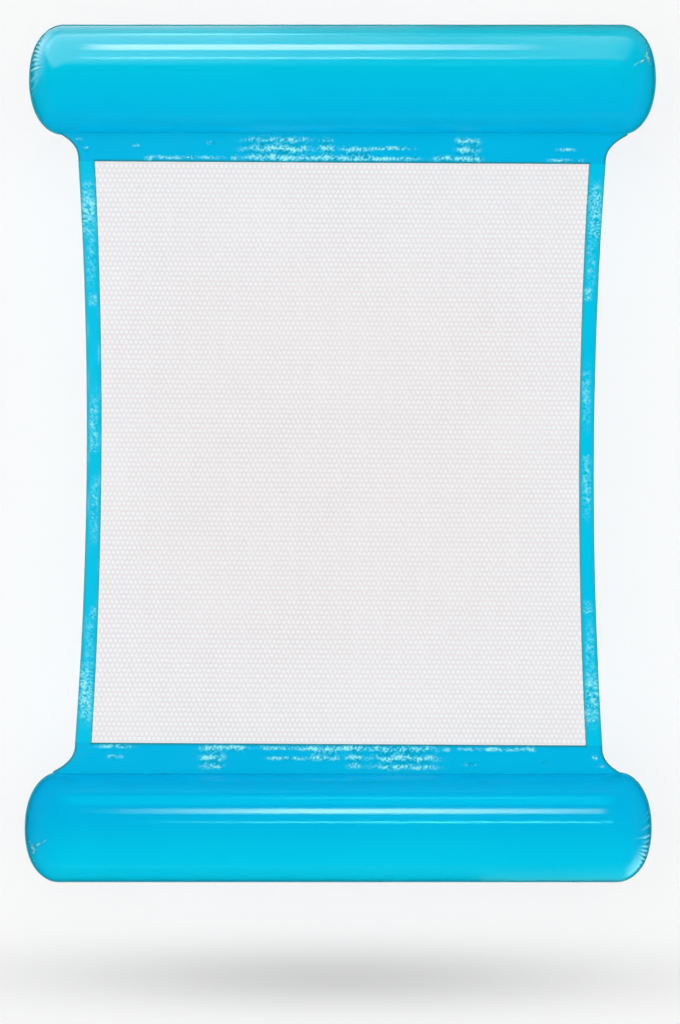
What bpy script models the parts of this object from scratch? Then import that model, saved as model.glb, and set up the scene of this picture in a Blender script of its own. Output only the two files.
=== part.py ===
"""Pool air mattress: a white net panel hung between two air pillows.

A pillow is an air chamber of two films welded together around their rim. On the side towards
the net the rim widens into a flange, which meets a round weld bead along the band. Each pillow
folds about that bead. The band and the two side strips are each a front and a back layer of
film, with the edge of the net between them. A push-in valve sits low on each chamber's outer
side, where it shows neither from above nor to the floor.

Metres, +Z up, head pillow at +Y. The mattress lies on the flat lowest facet of each pillow.
"""

import math

import bmesh
import bpy
from mathutils import Matrix, Vector

# Stock and clearances
FILM = 0.0003                      # thickness of the PVC film, for every film piece
GAP = 0.0003                       # clearance between pieces that touch

# Air chambers
PILLOW_LENGTH = 0.763              # from tip to tip, without the welded rim
PILLOW_DIAMETER = 0.1325           # over the film, at the middle
END_DEPTH = 0.0405                 # plan depth of a chamber's rounded end
END_CROWN = 0.062                  # how far from its tip a chamber reaches its full height
RIM_WIDTH = 0.0025                 # welded rim, on the free sides
FLANGE_WIDTH = 0.005               # welded rim, on the side towards the net
ARC_FACETS = 13                    # facets across one film, odd so that one lies flat on the floor
END_STATIONS = 6                   # cross-sections along one rounded end

# Net panel
NET_LENGTH = 0.712                 # window between the two bands
NET_WIDTH = 0.605                  # window between the side strips, at the bands
NET_DRAW_IN = 0.010                # how far each side is drawn in at mid-length
NET_THICKNESS = 0.0006
NET_TUCK = 0.012                   # how far the net runs in between the film layers
NET_COLUMNS = 12
NET_ROWS = 15
NET_STRAND = 0.0075                # width of the strands between the gaps
NET_GAP_TUCK = 0.003               # how far the outermost gaps run in under the film

# Bands and side strips
BAND_HEIGHT = 0.030                # from the net window to the bead's axis
BAND_FLARE = 0.0159                # how much wider each end of a band is at the bead
STRIP_WIDTH = 0.0205               # at the bands
STRIP_WAIST = 0.0181               # at mid-length
BEAD_RADIUS = 0.0011               # weld bead that a pillow folds about
BEAD_BITE = 0.0008                 # how far the band's back layer runs into the bead
CURVE_STEPS = 12                   # straight pieces in a flared or drawn-in edge

# Valves
VALVE_OFFSET = 0.215               # from the middle of the pillow
VALVE_FACET = 4                    # facets up from the lowest one
BASE_RADIUS = 0.0165
BASE_THICKNESS = 0.0010
CUP_MOUTH = 0.0090                 # inner radius of the cup at the film
CUP_FLOOR = 0.0068                 # inner radius of the cup at its floor
CUP_DEPTH = 0.012
CUP_WALL = 0.0008
CUP_HOLE = 0.0052                  # radius of the hole in the cup's floor
CUP_BITE = 0.00015                 # how far the cup's wall runs up into the base
NECK_RADIUS = 0.0055
NECK_BORE = 0.0035                 # radius of the air way
NECK_PROUD = 0.0020                # how far the pushed-in neck stands out of the film
ROOT_RADIUS = 0.0062
ROOT_THICKNESS = 0.0014
NECK_BEVEL = 0.0004
PLUG_HEAD = 0.0062                 # radius of its head
PLUG_HEAD_THICKNESS = 0.0018
PLUG_HEAD_EDGE = 0.0006            # thickness of the head at its edge, below the dome
PLUG_SHANK_LENGTH = 0.0080
PLUG_BARB = 0.0024                 # length of the shank's fat end
PLUG_WAIST = 0.0003                # how much thinner the shank is above its fat end
PLUG_LEAD_IN = 0.0010              # bevel at the shank's tip
TETHER_WIDTH = 0.0030
TETHER_THICKNESS = 0.0007
TETHER_BULGE = 0.0019              # how far the tether's loop stands out
TETHER_DROP = 0.0035               # from the neck's mouth down to the tether's root
FLAP_RADIUS = 0.0044
FLAP_THICKNESS = 0.0005
ROUND_STEPS = 24                   # sides of a round valve piece

# Layout worked out from the sizes above
OUTER_RADIUS = PILLOW_DIAMETER / 2
INNER_RADIUS = OUTER_RADIUS - FILM
HALF_FACET = math.pi / ARC_FACETS / 2
FACET_DISTANCE = INNER_RADIUS * math.cos(HALF_FACET) + FILM
SEAM_Z = GAP / 2                                  # inner face of a film's rim, off the middle plane
MIDDLE_Z = SEAM_Z + FACET_DISTANCE                # the net's height above the floor
LAYER_Z = NET_THICKNESS / 2 + GAP + FILM / 2      # middle of a band's or strip's layer
BEAD_Y = NET_LENGTH / 2 + BAND_HEIGHT             # the axis that a pillow folds about
BEAD_CLEARANCE = BEAD_RADIUS + GAP
AXIS_FROM_BEAD = BEAD_CLEARANCE + FLANGE_WIDTH + OUTER_RADIUS
CHAMBER_HALF = PILLOW_LENGTH / 2
STRAIGHT_HALF = CHAMBER_HALF - END_DEPTH
CROWN_START = CHAMBER_HALF - END_CROWN
MERGE = 0.000001


def clear_scene():
    for item in list(bpy.data.objects):
        bpy.data.objects.remove(item, do_unlink=True)


def collection(name):
    made = bpy.data.collections.new(name)
    bpy.context.scene.collection.children.link(made)
    return made


clear_scene()
MATTRESS = collection("pool_air_mattress")
CUTTERS = collection("cutters")


def material(name, colour, roughness):
    made = bpy.data.materials.new(name)
    made.use_nodes = True
    shader = made.node_tree.nodes["Principled BSDF"]
    shader.inputs["Base Color"].default_value = (*colour, 1.0)
    shader.inputs["Roughness"].default_value = roughness
    shader.inputs["Metallic"].default_value = 0.0
    made.diffuse_color = (*colour, 1.0)
    return made


CYAN_FILM = material("glossy_cyan_pvc_film", (0.0, 0.47, 0.75), 0.18)
WELDED_FILM = material("welded_cyan_pvc_film", (0.0, 0.50, 0.78), 0.30)
NET_YARN = material("white_polyester_net", (0.85, 0.84, 0.85), 0.75)
VALVE_VINYL = material("clear_white_soft_vinyl", (0.78, 0.80, 0.81), 0.35)
FLAP_VINYL = material("thin_clear_vinyl", (0.70, 0.74, 0.76), 0.25)


def add_object(name, data, surface=None, parent=None, location=(0, 0, 0), rotation=(0, 0, 0)):
    made = bpy.data.objects.new(name, data)
    MATTRESS.objects.link(made)
    made.location = location
    made.rotation_euler = rotation
    made.parent = parent
    if surface:
        data.materials.append(surface)
    return made


def add_cutter(name, data, parent=None, location=(0, 0, 0)):
    made = bpy.data.objects.new(name, data)
    CUTTERS.objects.link(made)
    made.location = location
    made.parent = parent
    made.hide_render = True
    made.display_type = "WIRE"
    return made


def boolean(target, other, operation="DIFFERENCE"):
    modifier = target.modifiers.new(operation.lower(), "BOOLEAN")
    modifier.operation = operation
    modifier.solver = "EXACT"
    modifier.object = other


def mesh_from(name, bm):
    data = bpy.data.meshes.new(name)
    bm.to_mesh(data)
    bm.free()
    return data


def smooth(data, angle=30.0):
    data.shade_smooth()
    data.set_sharp_from_angle(angle=math.radians(angle))


def frustum(name, low_radius, high_radius, low_z, high_z):
    """A capped round solid about the Z axis."""
    bm = bmesh.new()
    bmesh.ops.create_cone(
        bm, cap_ends=True, segments=ROUND_STEPS,
        radius1=low_radius, radius2=high_radius, depth=high_z - low_z,
    )
    bmesh.ops.translate(bm, verts=bm.verts, vec=(0, 0, (low_z + high_z) / 2))
    return mesh_from(name, bm)


def turned(name, profile, surface, parent, closed):
    """A profile of (radius, height) points, outer side running down, turned about the Z axis."""
    data = bpy.data.meshes.new(name)
    edges = [(i, i + 1) for i in range(len(profile) - 1)]
    if closed:
        edges.append((len(profile) - 1, 0))
    data.from_pydata([(radius, 0, height) for radius, height in profile], edges, [])
    made = add_object(name, data, surface, parent)
    screw = made.modifiers.new("turn", "SCREW")
    screw.axis = "Z"
    screw.steps = screw.render_steps = ROUND_STEPS
    screw.use_merge_vertices = True
    screw.merge_threshold = MERGE
    screw.use_smooth_shade = True
    return made


def flat_curve(name, outline, thickness):
    """A closed flat outline, filled and given a thickness."""
    data = bpy.data.curves.new(name, "CURVE")
    data.dimensions = "2D"
    data.fill_mode = "BOTH"
    data.extrude = thickness / 2
    spline = data.splines.new("POLY")
    spline.points.add(len(outline) - 1)
    for point, (x, y) in zip(spline.points, outline):
        point.co = (x, y, 0, 1)
    spline.use_cyclic_u = True
    return data


def curve_to_mesh(item):
    """The same object with its curve made a mesh, so that a Boolean can join it."""
    bpy.context.view_layer.update()
    evaluated = item.evaluated_get(bpy.context.evaluated_depsgraph_get())
    data = bpy.data.meshes.new_from_object(evaluated)
    bm = bmesh.new()
    bm.from_mesh(data)
    bmesh.ops.remove_doubles(bm, verts=bm.verts, dist=MERGE)
    bm.to_mesh(data)
    bm.free()
    name, place, parent = item.name, item.matrix_world.copy(), item.parent
    bpy.data.objects.remove(item, do_unlink=True)
    made = add_object(name, data, None, parent)
    made.matrix_world = place
    return made


def drawn_in(y, depth):
    """How far an edge is pulled towards the middle at y: nothing at the bands, depth at mid-length."""
    share = min(1.0, abs(y) / (NET_LENGTH / 2))
    return depth * (1 - share * share)


def window_edge(y):
    return NET_WIDTH / 2 - drawn_in(y, NET_DRAW_IN)


def strip_edge(y):
    return window_edge(y) + STRIP_WIDTH - drawn_in(y, STRIP_WIDTH - STRIP_WAIST)


def bowed(x, y):
    """Where a point of the straight net lies once the net's sides are drawn in."""
    return x * window_edge(y) / (NET_WIDTH / 2)


def net_gap_cutter():
    """Hexagonal prisms in staggered rows, clipped where they would run out of the window."""
    pitch_x = NET_WIDTH / NET_COLUMNS
    pitch_y = NET_LENGTH / NET_ROWS
    half_width = (pitch_x - NET_STRAND) / 2
    across = NET_STRAND / math.sqrt(3)
    tip = pitch_y * 2 / 3 - across
    shoulder = pitch_y / 3 - across / 2
    limit_x = NET_WIDTH / 2 + NET_GAP_TUCK
    limit_y = NET_LENGTH / 2 + NET_GAP_TUCK
    bm = bmesh.new()
    for row in range(NET_ROWS):
        y = (row - (NET_ROWS - 1) / 2) * pitch_y
        count = NET_COLUMNS + row % 2
        for column in range(count):
            x = (column - (count - 1) / 2) * pitch_x
            made = bmesh.ops.create_cone(
                bm, cap_ends=True, segments=6, radius1=1, radius2=1, depth=NET_THICKNESS * 6
            )
            for vertex in made["verts"]:
                side = round(vertex.co.x / math.cos(math.radians(30)))
                rise = tip if side == 0 else shoulder
                new_x = max(-limit_x, min(limit_x, x + side * half_width))
                new_y = max(-limit_y, min(limit_y, y + math.copysign(rise, vertex.co.y)))
                vertex.co.x = bowed(new_x, new_y)
                vertex.co.y = new_y
    return add_cutter("net_gaps", mesh_from("net_gaps", bm), location=(0, 0, MIDDLE_Z))


def net_panel():
    """A plate with honeycomb gaps and a fused edge, its sides drawn in."""
    half_width = NET_WIDTH / 2 + NET_TUCK
    half_length = NET_LENGTH / 2 + NET_TUCK
    steps = 2 * CURVE_STEPS
    ys = [half_length * (2 * step / steps - 1) for step in range(steps + 1)]
    outline = [(bowed(half_width, y), y) for y in ys]
    outline += [(bowed(-half_width, y), y) for y in reversed(ys)]
    plate = flat_curve("net_panel", outline, NET_THICKNESS)
    panel = add_object("net_panel", plate, NET_YARN, location=(0, 0, MIDDLE_Z))
    boolean(curve_to_mesh(panel), net_gap_cutter())


def band_outline(edge_y):
    """A band from the net window to edge_y, both ends flaring in a hollow quarter ellipse."""
    start = NET_LENGTH / 2
    full = strip_edge(start)
    right = []
    for step in range(CURVE_STEPS + 1):
        turn = step / CURVE_STEPS * math.pi / 2
        x = full + BAND_FLARE * (1 - math.cos(turn))
        y = start + BAND_HEIGHT * math.sin(turn)
        right.append((x, min(y, edge_y)))
        if y >= edge_y:
            break
    return right + [(-x, y) for x, y in reversed(right)]


def band(end, turn):
    """The front and back layers of one band. The back one carries the weld bead."""
    front_edge = BEAD_Y - math.sqrt(BEAD_CLEARANCE**2 - (LAYER_Z - FILM / 2) ** 2)
    front = flat_curve(f"{end}_band_front", band_outline(front_edge), FILM)
    add_object(
        f"{end}_band_front", front, WELDED_FILM,
        location=(0, 0, MIDDLE_Z + LAYER_Z), rotation=(0, 0, turn),
    )
    back = flat_curve(f"{end}_band_back", band_outline(BEAD_Y - BEAD_RADIUS + BEAD_BITE), FILM)
    layer = add_object(
        f"{end}_band_back", back, WELDED_FILM,
        location=(0, 0, MIDDLE_Z - LAYER_Z), rotation=(0, 0, turn),
    )
    layer = curve_to_mesh(layer)
    bm = bmesh.new()
    bmesh.ops.create_cone(
        bm, cap_ends=True, segments=CURVE_STEPS, radius1=BEAD_RADIUS, radius2=BEAD_RADIUS,
        depth=2 * (strip_edge(NET_LENGTH / 2) + BAND_FLARE),
    )
    bmesh.ops.rotate(bm, verts=bm.verts, matrix=Matrix.Rotation(math.pi / 2, 3, "Y"))
    bead = add_cutter(
        f"{end}_bead", mesh_from(f"{end}_bead", bm),
        location=(0, math.cos(turn) * BEAD_Y, MIDDLE_Z),
    )
    boolean(layer, bead, "UNION")


def side_strip(side, sign):
    """The front and back layers of one side strip, butted against the bands."""
    half = NET_LENGTH / 2 - GAP
    steps = 2 * CURVE_STEPS
    ys = [half * (2 * step / steps - 1) for step in range(steps + 1)]
    outline = [(sign * window_edge(y), y) for y in ys]
    outline += [(sign * strip_edge(y), y) for y in reversed(ys)]
    for layer, z in (("front", LAYER_Z), ("back", -LAYER_Z)):
        name = f"{side}_strip_{layer}"
        add_object(name, flat_curve(name, outline, FILM), WELDED_FILM, location=(0, 0, MIDDLE_Z + z))


def film_stations():
    """Places along the pillow, from tip to tip, closer together towards each tip."""
    right = [
        CROWN_START + END_CROWN * math.sin(step / END_STATIONS * math.pi / 2)
        for step in range(END_STATIONS + 1)
    ]
    return [-x for x in reversed(right)] + right


def seam_point(x):
    """Half breadth of the chamber at x, and the direction that its seam faces there."""
    run = max(0.0, abs(x) - STRAIGHT_HALF) / END_DEPTH
    breadth = INNER_RADIUS * math.sqrt(max(0.0, 1 - run * run))
    facing = Vector((math.copysign(run * INNER_RADIUS, x), END_DEPTH * breadth / INNER_RADIUS))
    return breadth, facing.normalized()


def film_mesh(name):
    """The inner face of one film: a grid pressed up into half a chamber, with its flat rim."""
    stations = film_stations()
    columns = len(stations) - 1
    rows = ARC_FACETS + 2
    bm = bmesh.new()
    bmesh.ops.create_grid(bm, x_segments=columns, y_segments=rows, size=0.5)
    for vertex in bm.verts:
        x = stations[round((vertex.co.x + 0.5) * columns)]
        row = round((vertex.co.y + 0.5) * rows)
        breadth, facing = seam_point(x)
        run = max(0.0, abs(x) - CROWN_START) / END_CROWN
        height = INNER_RADIUS * math.sqrt(max(0.0, 1 - run * run))
        turn = (min(max(row - 1, 0), ARC_FACETS) / ARC_FACETS - 0.5) * math.pi
        place = Vector((x, breadth * math.sin(turn), SEAM_Z + height * math.cos(turn)))
        if row in (0, rows):
            inward = row == 0
            straight = abs(x) <= STRAIGHT_HALF
            width = FLANGE_WIDTH + FILM if inward and straight else RIM_WIDTH + FILM
            place.x += facing.x * width
            place.y += facing.y * width * (-1 if inward else 1)
            place.z = SEAM_Z
        elif row in (1, rows - 1):
            place.z = SEAM_Z
        vertex.co = place
    bmesh.ops.remove_doubles(bm, verts=bm.verts, dist=MERGE)
    bmesh.ops.recalc_face_normals(bm, faces=bm.faces)
    if sum(face.normal.z for face in bm.faces) < 0:
        bmesh.ops.reverse_faces(bm, faces=bm.faces)
    data = mesh_from(name, bm)
    smooth(data, 50)
    return data


def add_film(name, fold, rotation):
    made = add_object(
        name, film_mesh(name), CYAN_FILM, fold, location=(0, AXIS_FROM_BEAD, 0), rotation=rotation
    )
    wall = made.modifiers.new("film_thickness", "SOLIDIFY")
    wall.thickness = FILM
    wall.offset = 1
    wall.use_even_offset = True
    return made


def chamber_prism(name, distance, parent):
    """A faceted bar along the pillow, its facets parallel to the film's and at this distance."""
    bm = bmesh.new()
    radius = distance / math.cos(HALF_FACET)
    bmesh.ops.create_cone(
        bm, cap_ends=True, segments=2 * ARC_FACETS, radius1=radius, radius2=radius,
        depth=BASE_RADIUS * 3,
    )
    first = max(bm.verts, key=lambda vertex: vertex.co.y).co
    spin = math.atan2(first.y, first.x) - math.pi / 2 + HALF_FACET
    bmesh.ops.rotate(bm, verts=bm.verts, matrix=Matrix.Rotation(-spin, 3, "Z"))
    bmesh.ops.rotate(bm, verts=bm.verts, matrix=Matrix.Rotation(math.pi / 2, 3, "Y"))
    bmesh.ops.rotate(bm, verts=bm.verts, matrix=Matrix.Rotation(math.pi / 2, 3, "X"))
    return add_cutter(name, mesh_from(name, bm), parent, location=(0, 0, -FACET_DISTANCE))


def valve_base(end, seat):
    """Welded disc that follows the film, with the cup that the neck is pushed down into."""
    disc = frustum(f"{end}_valve_base", BASE_RADIUS, BASE_RADIUS, -CUP_DEPTH / 2, CUP_DEPTH / 3)
    base = add_object(f"{end}_valve_base", disc, VALVE_VINYL, seat)
    under = FACET_DISTANCE + GAP
    boolean(base, chamber_prism(f"{end}_base_top", under + BASE_THICKNESS, seat), "INTERSECT")
    boolean(base, chamber_prism(f"{end}_base_underside", under, seat))
    cup = frustum(
        f"{end}_cup", CUP_FLOOR + CUP_WALL, CUP_MOUTH + CUP_WALL,
        -CUP_DEPTH - CUP_WALL, GAP + CUP_BITE,
    )
    boolean(base, add_cutter(f"{end}_cup", cup, seat), "UNION")
    above = CUP_DEPTH / 3
    slope = (CUP_MOUTH - CUP_FLOOR) / CUP_DEPTH
    hollow = frustum(f"{end}_cup_hollow", CUP_FLOOR, CUP_MOUTH + above * slope, -CUP_DEPTH, above)
    boolean(base, add_cutter(f"{end}_cup_hollow", hollow, seat))
    hole = frustum(f"{end}_cup_hole", CUP_HOLE, CUP_HOLE, -CUP_DEPTH * 1.5, -CUP_DEPTH / 2)
    boolean(base, add_cutter(f"{end}_cup_hole", hole, seat))


def valve_neck(end, seat):
    """Tube with a root that sits on the cup's floor."""
    root = -CUP_DEPTH + GAP
    profile = [
        (NECK_RADIUS - NECK_BEVEL, NECK_PROUD),
        (NECK_RADIUS, NECK_PROUD - NECK_BEVEL),
        (NECK_RADIUS, root + ROOT_THICKNESS + NECK_BEVEL),
        (ROOT_RADIUS, root + ROOT_THICKNESS),
        (ROOT_RADIUS, root),
        (NECK_BORE, root),
        (NECK_BORE, NECK_PROUD - NECK_BEVEL),
        (NECK_BORE + NECK_BEVEL, NECK_PROUD),
    ]
    turned(f"{end}_valve_neck", profile, VALVE_VINYL, seat, closed=True)


def valve_plug(end, seat):
    """Stopper with a low domed head that seats on the neck's mouth."""
    under = NECK_PROUD + GAP
    edge = under + PLUG_HEAD_EDGE
    dome = PLUG_HEAD_THICKNESS - PLUG_HEAD_EDGE
    dome_steps = CURVE_STEPS // 3
    shank = NECK_BORE - GAP
    tip = under - PLUG_SHANK_LENGTH
    profile = []
    for step in range(dome_steps + 1):
        turn = step / dome_steps * math.pi / 2
        profile.append((PLUG_HEAD * math.sin(turn), edge + dome * math.cos(turn)))
    profile += [
        (PLUG_HEAD, under),
        (shank - PLUG_WAIST, under),
        (shank - PLUG_WAIST, tip + PLUG_BARB + PLUG_WAIST),
        (shank, tip + PLUG_BARB),
        (shank, tip + PLUG_LEAD_IN),
        (shank - PLUG_LEAD_IN, tip),
        (0, tip),
    ]
    turned(f"{end}_valve_plug", profile, VALVE_VINYL, seat, closed=False)


def valve_tether(end, seat):
    """Strap that loops from the neck's side up to the rim of the plug's head."""
    root = Vector((NECK_RADIUS + GAP, NECK_PROUD - TETHER_DROP))
    tip = Vector((PLUG_HEAD + GAP, NECK_PROUD + GAP + PLUG_HEAD_THICKNESS / 2 - TETHER_THICKNESS / 2))
    data = bpy.data.curves.new(f"{end}_valve_tether", "CURVE")
    data.dimensions = "2D"
    data.extrude = TETHER_WIDTH / 2
    spline = data.splines.new("POLY")
    spline.points.add(CURVE_STEPS)
    for step, point in enumerate(spline.points):
        turn = (step / CURVE_STEPS - 0.5) * math.pi
        middle = root.lerp(tip, step / CURVE_STEPS)
        rise = (root.y + tip.y) / 2 + (tip.y - root.y) / 2 * math.sin(turn)
        point.co = (middle.x + TETHER_BULGE * math.cos(turn), rise, 0, 1)
    made = add_object(
        f"{end}_valve_tether", data, VALVE_VINYL, seat, rotation=(math.pi / 2, 0, 0)
    )
    strap = made.modifiers.new("strap_thickness", "SOLIDIFY")
    strap.thickness = TETHER_THICKNESS
    strap.offset = 0
    strap.use_even_offset = True


def valve_flap(end, seat):
    """Check flap under the neck's root, with its origin on the hinge at its upper edge."""
    bm = bmesh.new()
    bmesh.ops.create_cone(
        bm, cap_ends=True, segments=ROUND_STEPS, radius1=FLAP_RADIUS, radius2=FLAP_RADIUS,
        depth=FLAP_THICKNESS,
    )
    bmesh.ops.translate(bm, verts=bm.verts, vec=(0, FLAP_RADIUS, -FLAP_THICKNESS / 2))
    name = f"{end}_valve_flap"
    add_object(
        name, mesh_from(name, bm), FLAP_VINYL, seat, location=(0, -FLAP_RADIUS, -CUP_DEPTH)
    )


def pillow(end, turn):
    """One air pillow with its valve, in the frame of the bead that it folds about."""
    fold = add_object(
        f"{end}_fold_axis", None,
        location=(0, math.cos(turn) * BEAD_Y, MIDDLE_Z), rotation=(0, 0, turn),
    )
    add_film(f"{end}_pillow_top_film", fold, (0, 0, 0))
    bottom = add_film(f"{end}_pillow_bottom_film", fold, (0, math.pi, 0))
    lean = VALVE_FACET * 2 * HALF_FACET
    place = (
        VALVE_OFFSET,
        AXIS_FROM_BEAD + FACET_DISTANCE * math.sin(lean),
        -SEAM_Z - FACET_DISTANCE * math.cos(lean),
    )
    seat = add_object(
        f"{end}_valve_seat", None, parent=fold, location=place, rotation=(math.pi + lean, 0, 0)
    )
    hole = CUP_MOUTH + CUP_WALL + GAP
    hole_mesh = frustum(f"{end}_valve_hole", hole, hole, -CUP_DEPTH / 2, CUP_DEPTH / 2)
    boolean(bottom, add_cutter(f"{end}_valve_hole", hole_mesh, seat))
    valve_base(end, seat)
    valve_neck(end, seat)
    valve_plug(end, seat)
    valve_tether(end, seat)
    valve_flap(end, seat)


net_panel()
side_strip("left", -1)
side_strip("right", 1)
for end, turn in (("head", 0.0), ("foot", math.pi)):
    band(end, turn)
    pillow(end, turn)
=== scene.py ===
import math

import bpy
import numpy as np
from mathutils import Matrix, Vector


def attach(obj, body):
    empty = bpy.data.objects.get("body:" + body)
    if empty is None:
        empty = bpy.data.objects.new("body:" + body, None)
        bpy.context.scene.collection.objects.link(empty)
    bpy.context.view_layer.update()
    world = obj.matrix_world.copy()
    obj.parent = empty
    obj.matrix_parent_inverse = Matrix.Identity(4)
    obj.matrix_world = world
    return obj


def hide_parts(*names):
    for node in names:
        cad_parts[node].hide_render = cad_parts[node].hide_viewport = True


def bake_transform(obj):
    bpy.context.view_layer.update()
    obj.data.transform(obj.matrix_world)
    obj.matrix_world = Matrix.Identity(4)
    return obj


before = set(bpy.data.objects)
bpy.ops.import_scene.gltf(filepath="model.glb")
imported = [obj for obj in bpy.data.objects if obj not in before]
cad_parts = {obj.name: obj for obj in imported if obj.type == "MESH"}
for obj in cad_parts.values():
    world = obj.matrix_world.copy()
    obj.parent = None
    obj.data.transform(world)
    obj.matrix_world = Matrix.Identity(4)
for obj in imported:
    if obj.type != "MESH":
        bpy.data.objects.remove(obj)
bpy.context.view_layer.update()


# Net panel: knitted polyester mesh with six-sided openings, white, soft and matt.
# It is cut as one rectangle, drawn flat between the pillows, and welded in between the
# front and back film of the frame all round, so that its cut edge is never seen.
MIDDLE_Z = 0.0659192
WINDOW_HALF_WIDTH = 0.3025
WINDOW_HALF_LENGTH = 0.356
DRAWN_IN = 0.010
HIDDEN_MARGIN = 0.009
CELL_WIDTH = 0.0059
ROW_HEIGHT = 0.0060
CELL_COLUMNS = 106
CELL_ROWS = 122
STRAND_WIDTH = 0.0021
STRAND_RISE = 0.0005


def srgb(code):
    """Linear colour of a hex code."""
    parts = [int(code[i:i + 2], 16) / 255 for i in (1, 3, 5)]
    return tuple(p / 12.92 if p <= 0.04045 else ((p + 0.055) / 1.055) ** 2.4 for p in parts) + (1.0,)


def new_material(name):
    """A material with its shader and output, and its node tree."""
    material = bpy.data.materials.new(name)
    material.use_nodes = True
    return material, material.node_tree, material.node_tree.nodes["Principled BSDF"]


def add_node(tree, kind, settings=None, links=None):
    """One node: its settings by attribute or socket, and its links by socket."""
    node = tree.nodes.new(kind)
    for key, value in (settings or {}).items():
        if isinstance(key, str) and hasattr(node, key):
            setattr(node, key, value)
        else:
            node.inputs[key].default_value = value
    for key, source in (links or {}).items():
        tree.links.new(source, node.inputs[key])
    return node


def deselect():
    """Nothing is active in edit mode and nothing is selected."""
    if bpy.context.object and bpy.context.object.mode != "OBJECT":
        bpy.ops.object.mode_set(mode="OBJECT")
    bpy.ops.object.select_all(action="DESELECT")


def named(name):
    """The primitive that was just added, under its own name."""
    made = bpy.context.object
    made.name = name
    made.data.name = name
    return made


def pick(piece):
    """Selects one piece alone."""
    deselect()
    piece.select_set(True)
    bpy.context.view_layer.objects.active = piece


def apply_modifiers(piece):
    """Makes the piece's modifiers part of its mesh."""
    pick(piece)
    for modifier in list(piece.modifiers):
        bpy.ops.object.modifier_apply(modifier=modifier.name)


def read_points(piece):
    """The places of the piece's points, one in each row."""
    points = np.empty(len(piece.data.vertices) * 3)
    piece.data.vertices.foreach_get("co", points)
    return points.reshape(-1, 3)


def write_points(piece, points):
    """Puts the piece's points at these places."""
    piece.data.vertices.foreach_set("co", points.ravel())
    piece.data.update()


def merge(piece, distance=1e-6):
    """Joins the points that lie on each other and turns the faces outwards."""
    pick(piece)
    bpy.ops.object.mode_set(mode="EDIT")
    bpy.ops.mesh.select_all(action="SELECT")
    bpy.ops.mesh.remove_doubles(threshold=distance)
    bpy.ops.mesh.normals_make_consistent(inside=False)
    bpy.ops.object.mode_set(mode="OBJECT")


def drawn_in(y, depth):
    """How far a side edge has come in at y, deepest at mid-length."""
    return depth * (1 - (y / WINDOW_HALF_LENGTH) ** 2)


def window_edge(y):
    """Half the width of the net's window at y."""
    return WINDOW_HALF_WIDTH - drawn_in(y, DRAWN_IN)


# one opening, then the one in the next row, then rows and columns of the pair
deselect()
bpy.ops.mesh.primitive_circle_add(vertices=6, radius=1, fill_type="NGON", location=(0, 0, 0))
net = named("net")
bpy.ops.object.mode_set(mode="EDIT")
bpy.ops.transform.resize(value=(CELL_WIDTH / math.sqrt(3), ROW_HEIGHT * 2 / 3, 1))
bpy.ops.mesh.inset(thickness=STRAND_WIDTH / 2, depth=-STRAND_RISE)
bpy.ops.mesh.delete(type="FACE")
bpy.ops.mesh.select_all(action="SELECT")
bpy.ops.mesh.duplicate_move(
    TRANSFORM_OT_translate={"value": (CELL_WIDTH / 2, ROW_HEIGHT, 0)}
)
bpy.ops.object.mode_set(mode="OBJECT")
for axis, count, step in ((0, CELL_COLUMNS, CELL_WIDTH), (1, CELL_ROWS // 2, 2 * ROW_HEIGHT)):
    copies = net.modifiers.new("copies", "ARRAY")
    copies.count = count
    copies.use_relative_offset = False
    copies.use_constant_offset = True
    copies.constant_offset_displace = [step if i == axis else 0 for i in range(3)]
apply_modifiers(net)
merge(net, 2e-5)
points = read_points(net)
points[:, :2] -= (points[:, :2].min(axis=0) + points[:, :2].max(axis=0)) / 2
half_net = points[:, 0].max()
x, y = points[:, 0].copy(), points[:, 1].copy()
along = np.clip(y / WINDOW_HALF_LENGTH, -1, 1)
points[:, 0] = x * (window_edge(along * WINDOW_HALF_LENGTH) + HIDDEN_MARGIN) / half_net
# away from the welds the panel sways a little, and its strands run a little uneven
free = np.clip((1 - along ** 2) * 4, 0, 1) * np.clip((1 - (x / WINDOW_HALF_WIDTH) ** 2) * 4, 0, 1)
sway = np.sin(x * 19 + np.sin(y * 9) * 1.3) * np.cos(y * 7 - 0.6) + 0.6 * np.sin(x * 43 + y * 15)
points[:, 2] += MIDDLE_Z + STRAND_RISE / 2 + 0.0013 * free * sway
points[:, 0] += free * (0.0006 * np.sin(y * 31 + x * 12) + 0.0004 * np.sin(x * 710 + y * 1130))
points[:, 1] += free * 0.0005 * np.sin(x * 1290 - y * 530)
write_points(net, points)
pick(net)
bpy.ops.object.shade_smooth()

# White polyester yarn, warp knitted and heat set: matt, with a little lustre along the
# yarn. The yarn's twist, 0.3 mm, is drawn at 1.2 mm, because it is too fine to show.
knit, tree, shader = new_material("white_polyester_warp_knit")
place = add_node(tree, "ShaderNodeTexCoord")
yarn = add_node(
    tree, "ShaderNodeTexNoise", {"Scale": 850, "Detail": 2}, {"Vector": place.outputs["Object"]}
)
cloud = add_node(
    tree, "ShaderNodeTexNoise", {"Scale": 9, "Detail": 3}, {"Vector": place.outputs["Object"]}
)
tone = add_node(
    tree, "ShaderNodeMix", {"data_type": "RGBA", 6: srgb("#f0e9eb"), 7: srgb("#f8f3f5")},
    {0: cloud.outputs["Fac"]},
)
twist = add_node(
    tree, "ShaderNodeBump", {"Strength": 0.35, "Distance": 0.0004}, {"Height": yarn.outputs["Fac"]}
)
tree.links.new(tone.outputs[2], shader.inputs["Base Color"])
tree.links.new(twist.outputs["Normal"], shader.inputs["Normal"])
shader.inputs["Roughness"].default_value = 0.75
shader.inputs["IOR"].default_value = 1.54
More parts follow.
